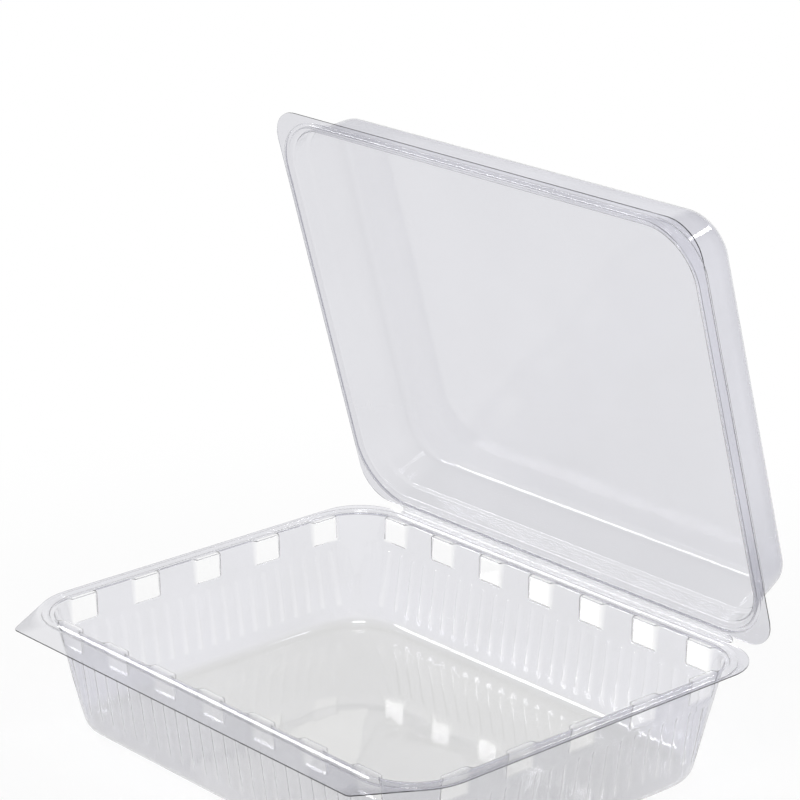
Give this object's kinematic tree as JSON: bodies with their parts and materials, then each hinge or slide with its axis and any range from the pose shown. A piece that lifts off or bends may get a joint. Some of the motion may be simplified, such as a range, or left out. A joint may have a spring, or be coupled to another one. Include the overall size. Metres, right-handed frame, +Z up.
{
  "type": "plastic clamshell pack",
  "caption": "Clear hinged clamshell food pack, part open: a drafted tray with fluted walls and denest lugs, a shallow lid, a snap rim and a living hinge.",
  "frame": {"origin": "centre of the base's underside, midway between the flange edges", "axes": "+X along the hinge line, +Y from the front lip to the hinge, +Z up"},
  "size_m": [0.229, 0.2129, 0.2222],
  "materials": {
    "clear_sheet": "clear glossy thermoformed polyester sheet with a faint cool tint"
  },
  "bodies": {
    "base": {"base": "clear_sheet", "living_hinge": "clear_sheet"},
    "lid": {"lid": "clear_sheet"}
  },
  "joints": [
    {"name": "lid_hinge", "type": "hinge", "parent": "base", "child": "lid", "pos_m": [0, 0.0925, 0.04615], "axis": [-1, 0, 0], "range_deg": [-74, 106], "deforming": ["living_hinge"]}
  ]
}
